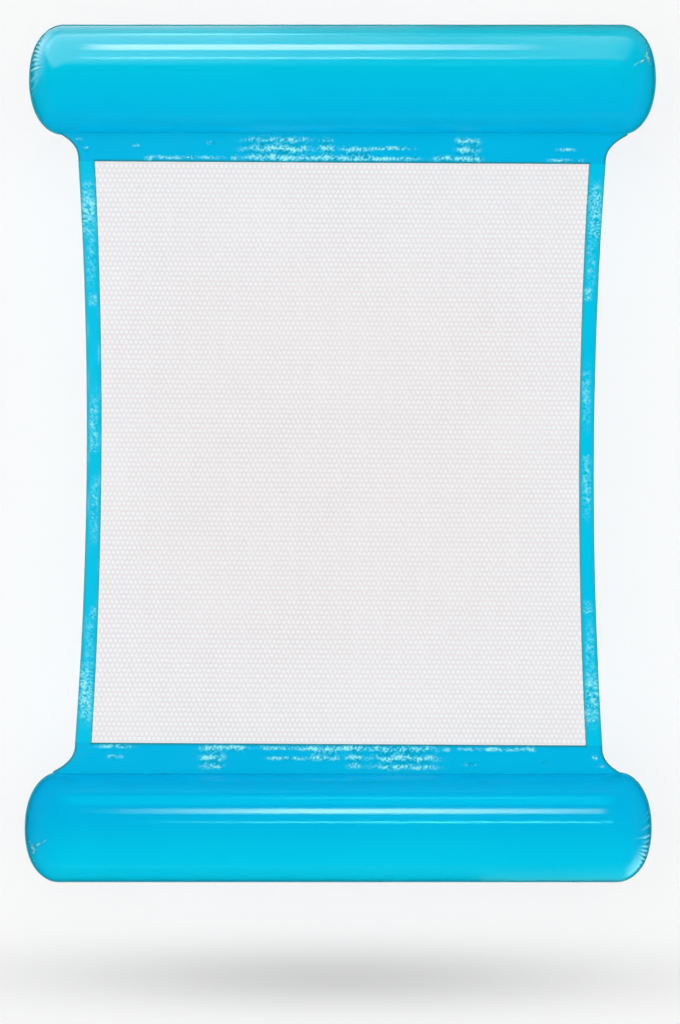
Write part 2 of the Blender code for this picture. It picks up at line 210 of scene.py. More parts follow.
shader.inputs["Sheen Weight"].default_value = 0.12
net.data.materials.append(knit)
net.visible_glossy = False
net.visible_diffuse = False
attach(net, "panel")
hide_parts("net_panel")


# Side strips: two layers of cyan soft PVC film welded together over the net's edge by
# high-frequency pressing. In patches the film is pressed down onto the net's knots, which
# show through lighter, partly as a painted highlight, with painted shade between them, and it ends in a
# darker line of pressed weld on both edges.
STRIP_WIDTH = 0.0205
STRIP_WAIST = 0.0181
LAYERS_HALF = 0.0009
EDGE_ROUND = 0.0009
WELD_LINE = 0.0034
WELD_FADE = 0.0022
FILM_STEP = 0.0011
KNOT_PITCH = 0.0042
KNOT_ROWS = 0.0114
FIRST_KNOTS = 0.0055


def strip_edge(y):
    """How far out the side strip's free edge is at y."""
    return window_edge(y) + STRIP_WIDTH - drawn_in(y, STRIP_WIDTH - STRIP_WAIST)


def pressed_patches(x, y):
    """Where the weld took the net's print deeply: 0 to 1. Places in metres. Both ends of
    the mattress come off the same tool, so the foot's patches are the head's, turned round."""
    patches = (
        # x, y, half width, half height, depth
        (-0.252, 0.3768, 0.005, 0.0020, 0.8), (-0.236, 0.3597, 0.005, 0.0040, 1.0),
        (-0.207, 0.3615, 0.024, 0.0022, 0.6), (-0.187, 0.3615, 0.006, 0.0024, 0.9),
        (-0.160, 0.3615, 0.015, 0.0020, 0.45), (-0.132, 0.3620, 0.004, 0.0030, 1.0),
        (-0.161, 0.3795, 0.008, 0.0020, 0.8), (-0.079, 0.3715, 0.038, 0.0150, 1.0),
        (-0.019, 0.3705, 0.009, 0.0130, 0.9), (0.017, 0.3675, 0.017, 0.0090, 1.0),
        (0.000, 0.3615, 0.046, 0.0030, 0.9), (0.061, 0.3742, 0.023, 0.0022, 0.8),
        (0.066, 0.3610, 0.026, 0.0024, 0.9), (0.123, 0.3620, 0.010, 0.0040, 0.8),
        (0.155, 0.3715, 0.014, 0.0150, 1.0), (0.140, 0.3610, 0.026, 0.0022, 0.7),
        (0.274, 0.3733, 0.010, 0.0020, 0.7), (0.274, 0.3600, 0.020, 0.0022, 0.7),
        (-0.322, 0.3805, 0.004, 0.0030, 0.5), (-0.314, 0.3707, 0.003, 0.0030, 0.7),
        (-0.310, 0.2970, 0.0075, 0.030, 0.9), (0.310, 0.2970, 0.0075, 0.031, 1.0),
        (-0.307, 0.2350, 0.0050, 0.030, 0.4), (0.306, 0.2350, 0.0050, 0.030, 0.4),
        (-0.304, 0.1870, 0.0050, 0.007, 0.7), (0.302, 0.1970, 0.0040, 0.007, 0.8),
        (-0.302, 0.0200, 0.0050, 0.050, 0.5), (0.301, 0.0700, 0.0050, 0.035, 0.45),
    )
    way = np.where(y < 0, -1.0, 1.0)
    total = np.zeros_like(x)
    for px, py, half_width, half_height, depth in patches:
        spread = ((way * x - px) / half_width) ** 4 + ((way * y - py) / half_height) ** 4
        total += depth * np.exp(-spread)
    ragged = 0.72 + 0.28 * np.sin(x * 310 + 2.1 * np.sin(y * 240)) * np.sin(y * 270 + 1.7 * np.sin(x * 190))
    return np.clip(total, 0, 1) * ragged


def speckle(x, y, width, height):
    """Uneven patches from 0 to 1, about as wide and high as given."""
    column, row = np.floor(x / width), np.floor(y / height)
    right, up = x / width - column, y / height - row
    right, up = right ** 2 * (3 - 2 * right), up ** 2 * (3 - 2 * up)
    corners = [
        (np.sin((column + i) * 127.1 + (row + j) * 311.7) * 43758.5) % 1 for j in (0, 1) for i in (0, 1)
    ]
    low = corners[0] * (1 - right) + corners[1] * right
    high = corners[2] * (1 - right) + corners[3] * right
    return low * (1 - up) + high * up


def print_of_net(x, y):
    """Height of the pressed film over its middle; where the knots show lighter, partly a painted highlight;
    where painted shade lies between them.
    """
    deep = pressed_patches(x, y)
    rise = np.abs(y) - WINDOW_HALF_LENGTH - FIRST_KNOTS + 0.0009 * np.sin(x * 47 + 1.9 * np.sin(x * 131))
    off_row = np.abs((rise / KNOT_ROWS + 0.5) % 1 - 0.5) * KNOT_ROWS
    shifted = x + 0.0012 * np.sin(y * 260 + 2.1 * np.sin(x * 83))
    dots = 0.5 + 0.5 * np.cos(2 * math.pi * shifted / KNOT_PITCH)
    strands = speckle(x, y, 0.0019, 0.0016)
    clumps = speckle(x, y, 0.0065, 0.0050)
    beside = np.clip((WINDOW_HALF_LENGTH - np.abs(y)) / 0.004, 0, 1)
    rows = np.exp(-(off_row / 0.0026) ** 2) * (0.55 + 0.45 * dots)
    knots = (rows * (1 - 0.75 * beside) + 0.22 + 0.35 * beside) * strands ** 1.3 * (0.55 + 0.9 * clumps) * 1.9
    # over the knots the film is lighter, partly the white yarn showing through and partly painted highlight;
    # between them it gets painted shade
    pale = np.clip(deep * (knots - 0.22) * 1.9, 0, 1)
    hollow = np.clip(deep * (0.36 - knots) * 2.2, 0, 1)
    waves = np.sin(x * 95 + np.sin(y * 40)) * np.sin(y * 83 + 1.1) + 0.5 * np.sin(x * 41 - y * 120)
    return deep * (knots - 0.3) * 0.0003 + 0.00016 * waves, pale, hollow


def grid_piece(name, columns, rows):
    """A flat grid, and the column and row of each of its points."""
    deselect()
    bpy.ops.mesh.primitive_grid_add(x_subdivisions=columns, y_subdivisions=rows, size=1, location=(0, 0, 0))
    piece = named(name)
    points = read_points(piece)
    column = np.rint((points[:, 0] + 0.5) * columns)
    row = np.rint((points[:, 1] + 0.5) * rows)
    return piece, points, column, row


def smooth(piece):
    """Smooth over curves, and sharp at edges of more than 40 degrees."""
    pick(piece)
    bpy.ops.object.shade_smooth_by_angle(angle=math.radians(40))


def store(piece, **values):
    """Keeps numbers of a piece's points with it, for its material."""
    for name, value in values.items():
        attribute = piece.data.attributes.new(name, "FLOAT", "POINT")
        attribute.data.foreach_set("value", value.astype(np.float32))


def lay_film(piece, points, side, from_edge):
    """Both faces of a welded strip: thin and round at its free edges, printed by the net."""
    round_off = np.clip(from_edge / EDGE_ROUND, 0, 1)
    half = LAYERS_HALF * np.sqrt(1 - (1 - round_off) ** 2)
    relief, pale, hollow = print_of_net(points[:, 0], points[:, 1])
    relief *= np.clip(from_edge / 0.003 - 0.3, 0, 1)
    points[:, 2] = MIDDLE_Z + side * (half + relief * (side != 0))
    write_points(piece, points)
    weld = np.clip((WELD_LINE - from_edge) / WELD_FADE, 0, 1) * (1 - pale)
    # kept for the material: the weld line, the lighter knots with their painted highlight, and the painted
    # shade between them
    store(piece, weld=weld, pale=pale, hollow=hollow)
    merge(piece)
    smooth(piece)


def film_material(name, base, haze, shade, roughness, bump):
    """Calendered soft PVC: glossy, slightly hazy, darker where weld pressure thinned it.
    Pressed onto the net's knots it shows them lighter, partly as a painted highlight, and between them it
    gets painted shade; gathered into puckers it gets a painted highlight on the crests and painted shade in
    the folds."""
    material, tree, shader = new_material(name)
    place = add_node(tree, "ShaderNodeTexCoord")
    cloud = add_node(
        tree, "ShaderNodeTexNoise", {"Scale": 6, "Detail": 3}, {"Vector": place.outputs["Object"]}
    )
    skin = add_node(
        tree, "ShaderNodeTexNoise", {"Scale": 160, "Detail": 4}, {"Vector": place.outputs["Object"]}
    )
    dye = add_node(
        tree, "ShaderNodeMix", {"data_type": "RGBA", 6: srgb(base), 7: srgb(haze)},
        {0: cloud.outputs["Fac"]},
    )
    # the weld line, then painted shade between knots and in folds, then lighter marks with painted highlight
    # on knots and pucker crests
    for attribute, colour in (("weld", shade), ("hollow", "#0792a6"), ("pale", "#9af9ff")):
        share = add_node(tree, "ShaderNodeAttribute", {"attribute_name": attribute})
        dye = add_node(
            tree, "ShaderNodeMix", {"data_type": "RGBA", 7: srgb(colour)},
            {0: share.outputs["Fac"], 6: dye.outputs[2]},
        )
    polish = add_node(
        tree, "ShaderNodeMapRange", {"To Min": roughness * 0.8, "To Max": roughness * 1.25},
        {"Value": cloud.outputs["Fac"]},
    )
    dimple = add_node(
        tree, "ShaderNodeBump", {"Strength": bump, "Distance": 0.0003}, {"Height": skin.outputs["Fac"]}
    )
    tree.links.new(dye.outputs[2], shader.inputs["Base Color"])
    tree.links.new(polish.outputs["Result"], shader.inputs["Roughness"])
    tree.links.new(dimple.outputs["Normal"], shader.inputs["Normal"])
    shader.inputs["IOR"].default_value = 1.53
    shader.inputs["Specular IOR Level"].default_value = 0.35
    return material


# Cyan soft PVC film, calendered, then pressed by the welding tool onto the white net: glossy,
# with the film's own fine skin of about 6 mm waves. Over the net it looks a little lighter.
strip_film = film_material("cyan_pvc_film_welded_on_net", "#00c9f1", "#04cff4", "#2cb0c6", 0.16, 0.10)

for side_name, sign in (("left", -1), ("right", 1)):
    across = round(STRIP_WIDTH / FILM_STEP)
    length = round(2 * WINDOW_HALF_LENGTH / FILM_STEP)
    strip, points, around, along = grid_piece(f"{side_name}_strip", 2 * across, length + 2)
    y = (np.clip(along - 1, 0, length) / length * 2 - 1) * WINDOW_HALF_LENGTH
    width = strip_edge(y) - window_edge(y)
    share = 1 - np.abs(around / across - 1)
    points[:, 0] = sign * (window_edge(y) + share * width)
    points[:, 1] = y
    side = np.where(around < across, 1.0, -1.0)
    side[(along == 0) | (along == length + 2)] = 0
    lay_film(strip, points, side, np.minimum(share, 1 - share) * width)
    strip.data.materials.append(strip_film)
    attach(strip, "panel")
    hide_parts(f"{side_name}_strip_front", f"{side_name}_strip_back")


# Head and foot bands: the same welded film, between the net and each pillow. Their ends
# flare out in one sweep to the pillow's corners, and past the fold line the band runs on
# over the pillow's weld flange.
BAND_END = 0.0372
FLARE = 0.0268
FLARE_HEIGHT = 0.0355
FLARE_POWER = 2.63

# The same film pressed onto itself: a shade deeper, with a darker line along the window.
band_film = film_material("cyan_pvc_film_welded", "#00baec", "#02c2f2", "#1e93a9", 0.16, 0.10)

for end, turn in (("head", 1), ("foot", -1)):
    up = round(BAND_END / FILM_STEP)
    columns = round(2 * strip_edge(WINDOW_HALF_LENGTH) / FILM_STEP)
    band, points, along, around = grid_piece(f"{end}_band", columns, 2 * up + 2)
    front = (around <= up) | (around == 2 * up + 2)
    share = np.where(around <= up, around, 2 * up + 1 - around) / up
    rise = np.clip(share, 0, 1) * BAND_END
    sweep = np.clip(rise / FLARE_HEIGHT, 0, 1)
    half = strip_edge(WINDOW_HALF_LENGTH) + FLARE * sweep ** FLARE_POWER
    lean = FLARE * FLARE_POWER * sweep ** (FLARE_POWER - 1) / FLARE_HEIGHT
    x = (along / columns * 2 - 1) * half
    from_window = np.hypot(np.clip(np.abs(x) - WINDOW_HALF_WIDTH, 0, None), rise)
    from_side = (half - np.abs(x)) / np.sqrt(1 + lean ** 2)
    points[:, 0] = turn * x
    points[:, 1] = turn * (WINDOW_HALF_LENGTH + rise)
    lay_film(band, points, np.where(front, 1.0, -1.0), np.minimum(from_window, from_side))
    band.data.materials.append(band_film)
    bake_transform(band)
    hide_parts(f"{end}_band_front", f"{end}_band_back")


# Air pillows: two sheets of cyan soft PVC film, pressed together round the edge by
# high-frequency welding and blown up tight. Only the weld rim stays flat; where the
# round ends gather, the film puckers at right angles to the weld, with a painted highlight on each crest and
# painted shade in each fold.
PILLOW_Y = 0.45865
STRAIGHT_HALF = 0.341
CROWN_START = 0.3195
END_CROWN = 0.0623
CHAMBER_RADIUS = 0.06625
ROUND_END = 0.0408
RIM_WIDTH = 0.0022
OUTER_DRAWN_IN = 0.0018
RIM_HALF = 0.00045
ROUNDNESS = 2.12
SKEW = 0.0057
SIDE_STEPS = 90
END_STEPS = 180
ARC_STEPS = 44
VALVE_X = 0.215
VALVE_LEAN = math.radians(360 * 4 / 26)
VALVE_HOLE = 0.0101
POCKET_DEPTH = 0.020
PUCKER_HALF = 0.0078
PUCKER_RISE = 0.0008
END_LENGTH = 0.150
# gathers at one end: how far along the end, 0 to 1, how far in from the weld, depth
GATHERS = (
    (0.398, 0.006, 0.3), (0.430, 0.006, 0.4), (0.479, 0.010, 0.65), (0.535, 0.014, 1.0),
    (0.566, 0.007, 0.5), (0.600, 0.010, 0.9), (0.630, 0.009, 0.8), (0.659, 0.011, 1.0),
    (0.690, 0.009, 0.9), (0.722, 0.007, 0.6), (0.760, 0.005, 0.5),
)
# dents at the other end: how far along it, from the weld, half length, half width, height
DENTS = (
    (0.340, 0.0092, 0.0016, 0.0014, 1.0), (0.353, 0.0112, 0.0015, 0.0013, 1.0),
    (0.367, 0.0102, 0.0016, 0.0013, 0.9), (0.382, 0.0086, 0.0020, 0.0013, 1.0),
    (0.402, 0.0088, 0.0014, 0.0010, 0.6), (0.374, 0.0195, 0.0032, 0.0015, 1.1),
    (0.360, 0.0300, 0.0036, 0.0012, 0.6), (0.345, 0.0150, 0.0012, 0.0010, 0.35),
    (0.290, 0.0050, 0.0016, 0.0009, 0.4), (0.425, 0.0055, 0.0022, 0.0009, 0.4),
    (0.250, 0.0040, 0.0016, 0.0009, 0.35), (0.318, 0.0036, 0.0014, 0.0009, 0.5),
)


def pillow_outline(spoke):
    """For each spoke round the pillow: its start on the crown line, its end on the weld,
    the cosine of its angle, and the way that the weld faces."""
    turns = 2 * (SIDE_STEPS + END_STEPS)
    spoke = spoke % turns
    half_way = SIDE_STEPS + END_STEPS
    back = spoke >= half_way
    step = np.where(back, spoke - half_way, spoke)
    sign = np.where(back, -1.0, 1.0)
    straight = np.clip(step / SIDE_STEPS, 0, 1) * 2 - 1
    crown_x = sign * STRAIGHT_HALF * np.sin(straight * 1.3) / math.sin(1.3)
    angle = math.pi / 2 - np.clip((step - SIDE_STEPS) / END_STEPS, 0, 1) * math.pi
    cosine, sine = np.cos(angle), np.sin(angle)
    cosine = np.where(step <= SIDE_STEPS, 0.0, np.clip(cosine, 0, 1) ** (2 / ROUNDNESS))
    sine = np.sign(sine) * np.abs(sine) ** (2 / ROUNDNESS)
    weld_x = crown_x + sign * ROUND_END * cosine
    weld_y = sign * CHAMBER_RADIUS * sine
    facing = np.stack((
        sign * CHAMBER_RADIUS * cosine ** (ROUNDNESS - 1),
        sign * ROUND_END * np.sign(sine) * np.abs(sine) ** (ROUNDNESS - 1),
    ))
    facing /= np.hypot(facing[0], facing[1])
    return crown_x, weld_x, weld_y, cosine, facing, sign * step


def blown_up(points, spoke, ring):
    """Places of the pillow's points about its own middle, and how near each is to the weld."""
    crown_x, weld_x, weld_y, cosine, facing, seam_step = pillow_outline(spoke)
    rings = 2 * ARC_STEPS + 3
    under = ring > ARC_STEPS + 1
    level = np.where(under, rings - ring, ring)
    share = np.sin(np.clip(level / ARC_STEPS, 0, 1) * math.pi / 2)
    x = crown_x + share * (weld_x - crown_x)
    y = share * weld_y
    run = np.clip((np.abs(x) - CROWN_START) / END_CROWN, 0, 1)
    crown = CHAMBER_RADIUS * np.sqrt(1 - run ** 2)
    section = np.sqrt(np.clip((1 - share ** 2) / np.maximum(1 - (share * cosine) ** 2, 1e-9), 0, 1))
    height = np.maximum(crown * section, RIM_HALF)
    rim = level > ARC_STEPS
    x = x + np.where(rim, facing[0] * RIM_WIDTH, 0)
    y = y + np.where(rim, facing[1] * RIM_WIDTH, 0)
    height = np.where(rim, RIM_HALF * 0.6, height)
    outer = np.clip((y - 0.035) / (CHAMBER_RADIUS - 0.035), 0, 1)
    y = y - OUTER_DRAWN_IN * outer ** 2 * (3 - 2 * outer)
    points[:, 0] = x
    points[:, 1] = y
    points[:, 2] = np.where(under, -height, height)
    from_weld = (1 - share) * np.hypot(weld_x - crown_x, weld_y)
    arc = np.clip(1 - level / ARC_STEPS, 0, 1) * math.pi / 2 * CHAMBER_RADIUS
    return arc, from_weld, np.where(cosine > 0, seam_step, 0)


def puckers(from_weld, seam_step):
    """Where the film gathers at the weld of a round end: its rise, the painted highlight on its crests and
    the painted shade in its folds.
    """
    along = (np.abs(seam_step) - SIDE_STEPS) / END_STEPS
    crest, fold = np.zeros_like(along), np.zeros_like(along)
    for centre, length, depth in GATHERS:
        off = np.abs(along - centre - 0.012 * (from_weld / 0.012) ** 2)
        start = np.clip(from_weld / 0.0003, 0, 1)
        reach = (seam_step < 0) * depth * start * np.exp(-(from_weld / length) ** 2)
        crest += reach * np.exp(-(off / PUCKER_HALF) ** 2)
        fold += reach * np.exp(-((off - 1.9 * PUCKER_HALF) / (0.8 * PUCKER_HALF)) ** 2)
    for centre, inwards, half_length, half_width, depth in DENTS:
        run = ((along - centre) * END_LENGTH / half_width) ** 2
        run += ((from_weld - inwards) / half_length) ** 2
        crest += (seam_step > 0) * depth * np.exp(-run)
        fold += (seam_step > 0) * depth * 0.8 * run * np.exp(1 - run / 1.6) / 1.6
    # the crests are painted lighter as a highlight, and the folds darker as shade
    return PUCKER_RISE * (crest - 0.6 * fold), np.clip(crest, 0, 1) * 0.75, np.clip(fold, 0, 1) * 0.6


# The same film blown up tight, so that it is smooth and mirrors long soft streaks.
blown_film = film_material("cyan_pvc_film_blown_up", "#00bce5", "#02c2e8", "#2bacc2", 0.105, 0.06)

for end, turn in (("head", 1), ("foot", -1)):
    turns = 2 * (SIDE_STEPS + END_STEPS)
    pillow, points, spoke, ring = grid_piece(f"{end}_pillow", turns, 2 * ARC_STEPS + 3)
    arc, from_weld, seam_step = blown_up(points, spoke, ring)
    write_points(pillow, points)
    # the weld line shows on the free sides, and not where the band runs on over it
    free = 1 - (points[:, 1] < 0) * np.clip((0.358 - np.abs(points[:, 0])) / 0.012, 0, 1)
    weld = free * np.clip(1.3 - arc / 0.003, 0, 1)
    rise, crest, fold = puckers(from_weld, seam_step)
    # the weld line, the crests' painted highlight and the folds' painted shade
    store(pillow, weld=weld, pale=crest, hollow=fold, rise=rise)
    merge(pillow)
    points = read_points(pillow)
    normals = np.empty(len(points) * 3)
    pillow.data.vertex_normals.foreach_get("vector", normals)
    rise = np.empty(len(points))
    pillow.data.attributes["rise"].data.foreach_get("value", rise)
    points += normals.reshape(-1, 3) * rise[:, None]
    pillow.data.attributes.remove(pillow.data.attributes["rise"])
    points[:, 2] = np.maximum(points[:, 2], -MIDDLE_Z)
    points[:, :2] *= turn
    points += (0, turn * PILLOW_Y, MIDDLE_Z)
    points[:, 1] += SKEW * points[:, 0] * np.clip((points[:, 2] - 0.044) / 0.018, 0, 1)
    write_points(pillow, points)
    # the hole for the valve, with the room that the valve takes up inside
    out = Vector((0, turn * math.sin(VALVE_LEAN), -math.cos(VALVE_LEAN)))
    seat = Vector((turn * VALVE_X, turn * PILLOW_Y, MIDDLE_Z)) + out * CHAMBER_RADIUS
    deselect()
    bpy.ops.mesh.primitive_cylinder_add(
        vertices=64, radius=VALVE_HOLE, depth=2 * POCKET_DEPTH, location=seat,
        rotation=out.to_track_quat("Z", "Y").to_euler(),
    )
    cutter = named("valve_room")
    room = pillow.modifiers.new("valve_room", "BOOLEAN")
    room.operation = "DIFFERENCE"
    room.object = cutter
    apply_modifiers(pillow)
    bpy.data.objects.remove(cutter)
    smooth(pillow)
    pillow.data.materials.append(blown_film)
    pillow.visible_diffuse = False
    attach(pillow, f"{end}_pillow")
    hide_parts(f"{end}_pillow_top_film", f"{end}_pillow_bottom_film")


# Valves: soft vinyl moulded in one go, one on each pillow's hidden side. The disc is
# welded over the film's hole, and the neck is pushed down into its cup with the stopper
# in it, which a strap keeps.
ROUND_STEPS = 64
VALVE_SEAT = (0.215, 0.512777, 0.028408)
EASED = 0.0003
DISC_RADIUS = 0.0165
DISC_LOW = 0.0003
DISC_TOP = 0.0013
CUP_MOUTH = 0.0090
CUP_FLOOR = 0.0068
CUP_DEPTH = 0.012
CUP_WALL = 0.0008
CUP_HOLE = 0.0052
NECK_RADIUS = 0.0055
NECK_BORE = 0.0035
NECK_PROUD = 0.0020
NECK_ROOT = -0.0117
ROOT_RADIUS = 0.0062
ROOT_THICKNESS = 0.0014
HEAD_RADIUS = 0.0062
HEAD_UNDER = 0.0023
HEAD_EDGE = 0.0006
HEAD_DOME = 0.0012
DOME_STEPS = 8
SHANK_RADIUS = 0.0032
SHANK_TIP = -0.0057
BARB_LENGTH = 0.0024
BARB_DEPTH = 0.0003
STRAP_HALF_WIDTH = 0.0015
STRAP_HALF_THICKNESS = 0.00035
STRAP_ROOT = (0.0057, -0.0015)
STRAP_TIP = (0.0060, 0.0029)
STRAP_BULGE = 0.0021
STRAP_STEPS = 24
STRAP_SIDES = 16

dome_top = HEAD_UNDER + HEAD_EDGE
dome_turns = [step / DOME_STEPS * math.pi / 2 for step in range(DOME_STEPS + 1)]
# each profile: radius, height out of the seat, and whether it follows the film's curve
disc_profile = (
    (DISC_RADIUS, DISC_LOW, 1), (DISC_RADIUS, DISC_TOP - 2 * EASED, 1),
    (DISC_RADIUS - EASED / 3, DISC_TOP - EASED, 1), (DISC_RADIUS - EASED, DISC_TOP - EASED / 3, 1),
    (DISC_RADIUS - 2 * EASED, DISC_TOP, 1),
    ((DISC_RADIUS + CUP_MOUTH) / 2, DISC_TOP, 1), (CUP_MOUTH + 2 * EASED, DISC_TOP, 1),
    (CUP_MOUTH + EASED, DISC_TOP - EASED / 3, 1), (CUP_MOUTH + EASED / 3, DISC_TOP - EASED, 1),
    (CUP_MOUTH, DISC_TOP - 2 * EASED, 1), (CUP_FLOOR + EASED, EASED - CUP_DEPTH, 0),
    (CUP_FLOOR - EASED, -CUP_DEPTH, 0), (CUP_HOLE, -CUP_DEPTH, 0), (CUP_HOLE, -CUP_DEPTH - CUP_WALL, 0),
    (CUP_FLOOR + CUP_WALL, -CUP_DEPTH - CUP_WALL, 0), (CUP_MOUTH + CUP_WALL, DISC_LOW, 1),
    (DISC_RADIUS, DISC_LOW, 1),
)
neck_profile = (
    (NECK_BORE + EASED, NECK_PROUD, 0), (NECK_RADIUS - EASED, NECK_PROUD, 0),
    (NECK_RADIUS - EASED / 3, NECK_PROUD - EASED / 3, 0), (NECK_RADIUS, NECK_PROUD - EASED, 0),
    (NECK_RADIUS, NECK_ROOT + ROOT_THICKNESS + EASED, 0), (ROOT_RADIUS, NECK_ROOT + ROOT_THICKNESS, 0),
    (ROOT_RADIUS, NECK_ROOT, 0), (NECK_BORE, NECK_ROOT, 0), (NECK_BORE, NECK_PROUD - EASED, 0),
    (NECK_BORE + EASED, NECK_PROUD, 0),
)
stopper_profile = (
    *((HEAD_RADIUS * math.sin(lean), dome_top + HEAD_DOME * math.cos(lean), 0) for lean in dome_turns),
    (HEAD_RADIUS - EASED / 3, HEAD_UNDER + EASED / 2, 0), (HEAD_RADIUS - EASED, HEAD_UNDER, 0),
    (SHANK_RADIUS - BARB_DEPTH, HEAD_UNDER, 0),
    (SHANK_RADIUS - BARB_DEPTH, SHANK_TIP + BARB_LENGTH + BARB_DEPTH, 0),
    (SHANK_RADIUS, SHANK_TIP + BARB_LENGTH, 0), (SHANK_RADIUS, SHANK_TIP + 3 * EASED, 0),
    (SHANK_RADIUS - 3 * EASED, SHANK_TIP, 0), (0, SHANK_TIP, 0),
)


def valve_place(turn, across, side, out):
    """Points of a valve in the row frame, from their places about its seat."""
    seat = np.array(VALVE_SEAT) * (turn, turn, 1)
    outwards = np.array((0, turn * math.sin(VALVE_LEAN), -math.cos(VALVE_LEAN)))
    sideways = np.cross(outwards, (turn, 0, 0))
    return seat + np.outer(across, (turn, 0, 0)) + np.outer(side, sideways) + np.outer(out, outwards)


# Clear white plasticised PVC from a polished mould: satin, with light going a little way in.
vinyl, tree, shader = new_material("clear_white_soft_vinyl_moulded")
place = add_node(tree, "ShaderNodeTexCoord")
cloud = add_node(
    tree, "ShaderNodeTexNoise", {"Scale": 120, "Detail": 3}, {"Vector": place.outputs["Object"]}
)
milk = add_node(
    tree, "ShaderNodeMix", {"data_type": "RGBA", 6: srgb("#dfe8ea"), 7: srgb("#f0f4f4")},
    {0: cloud.outputs["Fac"]},
)
grain = add_node(
    tree, "ShaderNodeBump", {"Strength": 0.12, "Distance": 0.0002}, {"Height": cloud.outputs["Fac"]}
)
tree.links.new(milk.outputs[2], shader.inputs["Base Color"])
tree.links.new(grain.outputs["Normal"], shader.inputs["Normal"])
shader.inputs["Roughness"].default_value = 0.38
shader.inputs["IOR"].default_value = 1.53
shader.inputs["Subsurface Weight"].default_value = 0.25
shader.inputs["Subsurface Radius"].default_value = (0.002, 0.002, 0.002)


def finish_vinyl(piece, points):
    """Closes the piece, shades it and gives it its vinyl."""
    write_points(piece, points)
    merge(piece)
    smooth(piece)
    piece.data.materials.append(vinyl)


for end, turn in (("head", 1), ("foot", -1)):
    for name, profile, body, node in (
        ("welded_disc", disc_profile, "pillow", "base"), ("blow_neck", neck_profile, "neck", "neck"),
        ("stopper", stopper_profile, "plug", "plug"),
    ):
        piece, _, around, step = grid_piece(f"{end}_{name}", ROUND_STEPS, len(profile) - 1)
        radius, height, follows = np.array(profile)[step.astype(int)].T
        angle = around / ROUND_STEPS * 2 * math.pi
        side = radius * np.sin(angle)
        height = height + follows * (np.sqrt(CHAMBER_RADIUS ** 2 - side ** 2) - CHAMBER_RADIUS)
        finish_vinyl(piece, valve_place(turn, radius * np.cos(angle), side, height))
        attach(piece, f"{end}_{body}")
        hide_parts(f"{end}_valve_{node}")
    # the strap goes from the neck's side up to the stopper's rim
    strap, _, around, step = grid_piece(f"{end}_stopper_strap", STRAP_SIDES, STRAP_STEPS + 2)
    share = np.clip(step - 1, 0, STRAP_STEPS) / STRAP_STEPS
    capped = (step > 0) & (step < STRAP_STEPS + 2)
    bow = (share - 0.5) * math.pi
    tip_rise = (STRAP_TIP[1] - STRAP_ROOT[1]) / 2
    across = STRAP_ROOT[0] + (STRAP_TIP[0] - STRAP_ROOT[0]) * share + STRAP_BULGE * np.cos(bow)
    out = (STRAP_TIP[1] + STRAP_ROOT[1]) / 2 + tip_rise * np.sin(bow)
    angle = around / STRAP_SIDES * 2 * math.pi
    thick = capped * STRAP_HALF_THICKNESS * np.sin(angle)
    wide = capped * STRAP_HALF_WIDTH * np.sign(np.cos(angle)) * np.abs(np.cos(angle)) ** 0.5
    finish_vinyl(strap, valve_place(turn, across + thick * np.cos(bow), wide, out + thick * np.sin(bow)))
    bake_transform(strap)
    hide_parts(f"{end}_valve_tether")
    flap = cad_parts[f"{end}_valve_flap"]
    flap.data.materials.clear()
    flap.data.materials.append(vinyl)


# Studio: a matt white paper roll under and behind the mattress, wide soft lamps that only
# light the colours, and long strip lamps that show only in the gloss, one set for each
# pillow, with one small far lamp that the pressed film glints in.
FULL_LIGHT = math.pi
# low enough for a pillow that is folded down
FLOOR_Z = -0.08
# where the painted shadow lies beyond the foot, and how far it reaches across and along
PAINTED_SHADOW_Y = -0.6625
PAINTED_SHADOW_HALF_WIDTH = 0.392
PAINTED_SHADOW_HALF_HEIGHT = 0.042

deselect()
bpy.ops.mesh.primitive_plane_add(size=120, location=(0, 0, FLOOR_Z))
floor = named("studio_floor")
# Uncoated paper off a roll: matt, with no gloss. Beyond the foot a soft grey shadow is painted into its
# colour.
paper, tree, shader = new_material("matt_white_paper_roll_painted_shadow")
place = add_node(tree, "ShaderNodeTexCoord")
from_middle = add_node(
    tree, "ShaderNodeVectorMath", {"operation": "ADD", 1: (0, -PAINTED_SHADOW_Y, 0)}, {0: place.outputs["Object"]}
)
shape = add_node(
    tree, "ShaderNodeVectorMath",
    {"operation": "MULTIPLY", 1: (1 / PAINTED_SHADOW_HALF_WIDTH, 1 / PAINTED_SHADOW_HALF_HEIGHT, 0)},
    {0: from_middle.outputs["Vector"]},
)
distance = add_node(tree, "ShaderNodeVectorMath", {"operation": "LENGTH"}, {0: shape.outputs["Vector"]})
square = add_node(
    tree, "ShaderNodeMath", {"operation": "POWER", 1: 2.0}, {0: distance.outputs["Value"]}
)
falling = add_node(
    tree, "ShaderNodeMath", {"operation": "MULTIPLY", 1: -1.0}, {0: square.outputs["Value"]}
)
painted_shadow = add_node(tree, "ShaderNodeMath", {"operation": "EXPONENT"}, {0: falling.outputs["Value"]})
# inside that ellipse the paper's colour goes grey: a painted shadow
shaded = add_node(
    tree, "ShaderNodeMix", {"data_type": "RGBA", 6: srgb("#fcfcfc"), 7: srgb("#d2d2d2")},
    {0: painted_shadow.outputs["Value"]},
)
tree.links.new(shaded.outputs[2], shader.inputs["Base Color"])
shader.inputs["Roughness"].default_value = 0.9
shader.inputs["Specular IOR Level"].default_value = 0.0
floor.data.materials.append(paper)
floor.visible_glossy = False
floor.visible_shadow = False

